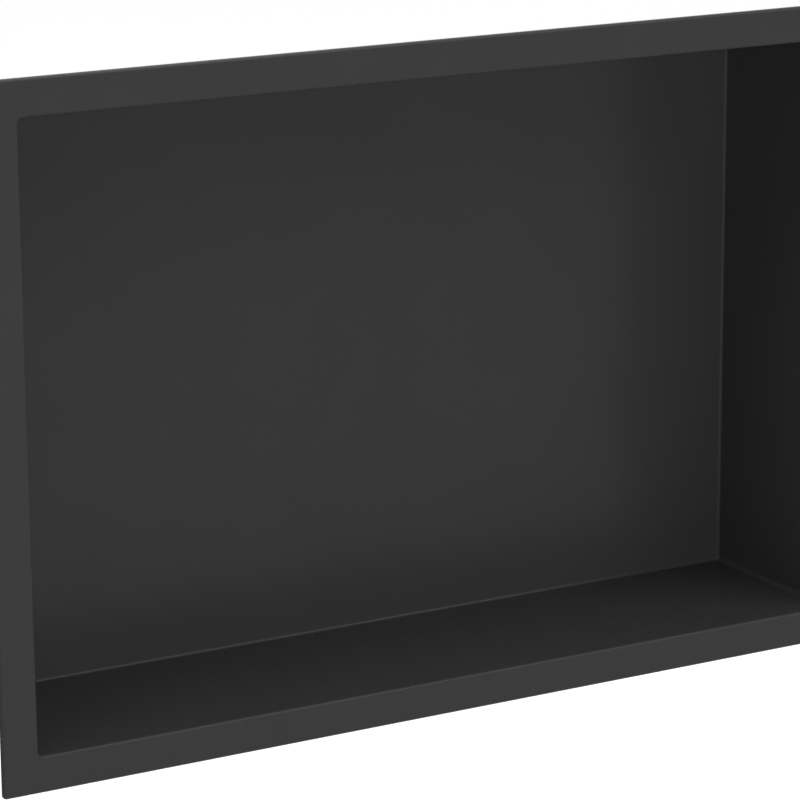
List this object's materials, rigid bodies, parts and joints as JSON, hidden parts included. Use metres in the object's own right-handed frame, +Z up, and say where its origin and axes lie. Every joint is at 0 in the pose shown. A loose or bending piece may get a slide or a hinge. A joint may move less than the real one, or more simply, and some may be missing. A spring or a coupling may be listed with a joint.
{
  "type": "shower niche insert",
  "caption": "Open-fronted box of matte black sheet steel with a flat flange round its mouth, set into a recess in a tiled wall to hold bottles and soap.",
  "frame": {"origin": "centre of the mouth, in the plane of the wall that the end of the flange's lip stands on", "axes": "+X along the width, to the right seen from the front; +Y into the wall; +Z up"},
  "size_m": [0.486, 0.1012, 0.336],
  "materials": {
    "black_coating": "matte"
  },
  "bodies": {
    "root": {"niche_insert": "black_coating"}
  },
  "joints": []
}
